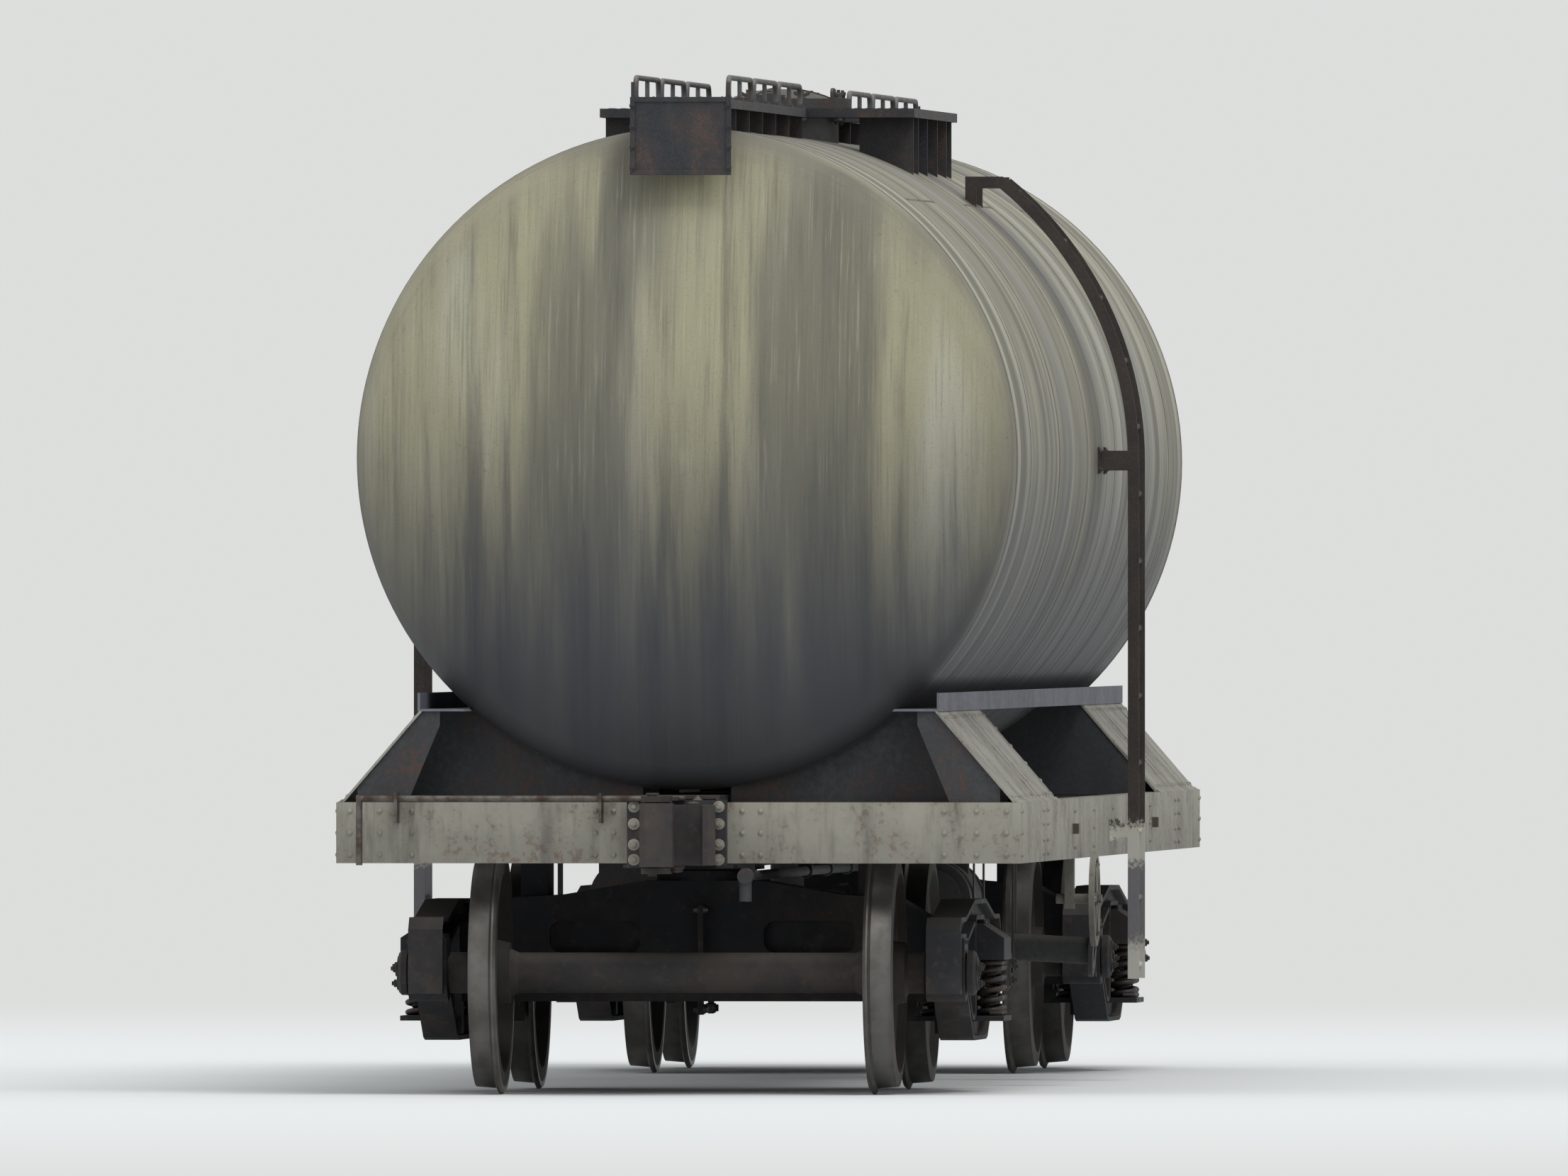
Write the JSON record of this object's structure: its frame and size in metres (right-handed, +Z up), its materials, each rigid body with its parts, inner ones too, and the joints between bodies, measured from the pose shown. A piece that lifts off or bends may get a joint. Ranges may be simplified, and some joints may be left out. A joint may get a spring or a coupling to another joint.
{
  "type": "railway tank car",
  "caption": "Broad-gauge bogie tank car: long dished-end barrel on a pale underframe, top walkway, curved side ladders, three-piece bogies, knuckle couplers.",
  "frame": {"origin": "middle of the car at the level of the lowest point of the wheel flanges", "axes": "+X along the car towards its front end, +Y to its left, +Z up; the rail's top is at z = 0.0285 m"},
  "size_m": [12.5756, 3.244, 4.4355],
  "materials": {
    "tank": "matt",
    "fittings": "matt",
    "walkway": "matt",
    "ladder": "matt",
    "underframe": "matt",
    "underfloor": "matt",
    "casting": "matt",
    "wheel": "satin",
    "spring": "matt"
  },
  "bodies": {
    "car": {"tank_barrel": "tank", "manhole_neck": "tank", "top_valves": "fittings", "walkway_decks": "walkway", "walkway_brackets": "walkway", "walkway_end_plates": "walkway", "walkway_hoops": "walkway", "ladder_left": "ladder", "ladder_right": "ladder", "centre_sill": "underframe", "solebars": "underframe", "headstocks": "underframe", "cross_bearers": "underframe", "body_bolsters": "underframe", "centre_plates": "casting", "cradle_plates_front": "underframe", "cradle_plates_rear": "underframe", "cradle_bands": "underframe", "saddles": "underframe", "draft_gear": "casting", "strikers": "casting", "uncoupling_rods": "fittings", "discharge_pipes": "underfloor", "brake_cylinder": "underfloor", "air_reservoir": "underfloor", "brake_pipe": "underfloor", "brake_rigging": "underfloor", "hand_brake": "underfloor"},
    "manhole_lid": {"manhole_lid": "fittings"},
    "bogie_front": {"side_frames_front": "casting", "bogie_bolster_front": "casting", "springs_front": "spring", "bearing_adapters_front": "casting", "brake_beams_front": "casting"},
    "coupler_front": {"coupler_front": "casting"},
    "knuckle_front": {"knuckle_front": "casting"},
    "bogie_rear": {"side_frames_rear": "casting", "bogie_bolster_rear": "casting", "springs_rear": "spring", "bearing_adapters_rear": "casting", "brake_beams_rear": "casting"},
    "coupler_rear": {"coupler_rear": "casting"},
    "knuckle_rear": {"knuckle_rear": "casting"},
    "wheelset_1": {"wheels_1": "wheel", "axle_1": "wheel"},
    "wheelset_2": {"wheels_2": "wheel", "axle_2": "wheel"},
    "wheelset_3": {"wheels_3": "wheel", "axle_3": "wheel"},
    "wheelset_4": {"wheels_4": "wheel", "axle_4": "wheel"}
  },
  "joints": [
    {"name": "lid_hinge", "type": "hinge", "parent": "car", "child": "manhole_lid", "pos_m": [0, -0.352, 4.3705], "axis": [1, 0, 0], "range_deg": [0, 105]},
    {"name": "bogie_front_pivot", "type": "hinge", "parent": "car", "child": "bogie_front", "pos_m": [4.1955, 0, 0.9535], "axis": [0, 0, 1], "range_deg": [-3, 3]},
    {"name": "coupler_front_swing", "type": "hinge", "parent": "car", "child": "coupler_front", "pos_m": [5.46, 0, 1.1335], "axis": [0, 0, 1], "range_deg": [-7, 7]},
    {"name": "knuckle_front_opening", "type": "hinge", "parent": "coupler_front", "child": "knuckle_front", "pos_m": [6.14, -0.08, 1.1335], "axis": [0, 0, -1], "range_deg": [0, 50]},
    {"name": "bogie_rear_pivot", "type": "hinge", "parent": "car", "child": "bogie_rear", "pos_m": [-4.1955, 0, 0.9535], "axis": [0, 0, 1], "range_deg": [-3, 3]},
    {"name": "coupler_rear_swing", "type": "hinge", "parent": "car", "child": "coupler_rear", "pos_m": [-5.46, 0, 1.1335], "axis": [0, 0, 1], "range_deg": [-7, 7]},
    {"name": "knuckle_rear_opening", "type": "hinge", "parent": "coupler_rear", "child": "knuckle_rear", "pos_m": [-6.14, 0.08, 1.1335], "axis": [0, 0, -1], "range_deg": [0, 50]},
    {"name": "wheelset_1_roll", "type": "hinge", "parent": "bogie_front", "child": "wheelset_1", "pos_m": [5.1955, 0, 0.5285], "axis": [0, 1, 0], "continuous": true},
    {"name": "wheelset_2_roll", "type": "hinge", "parent": "bogie_front", "child": "wheelset_2", "pos_m": [3.1955, 0, 0.5285], "axis": [0, 1, 0], "continuous": true},
    {"name": "wheelset_3_roll", "type": "hinge", "parent": "bogie_rear", "child": "wheelset_3", "pos_m": [-3.1955, 0, 0.5285], "axis": [0, 1, 0], "continuous": true},
    {"name": "wheelset_4_roll", "type": "hinge", "parent": "bogie_rear", "child": "wheelset_4", "pos_m": [-5.1955, 0, 0.5285], "axis": [0, 1, 0], "continuous": true}
  ]
}
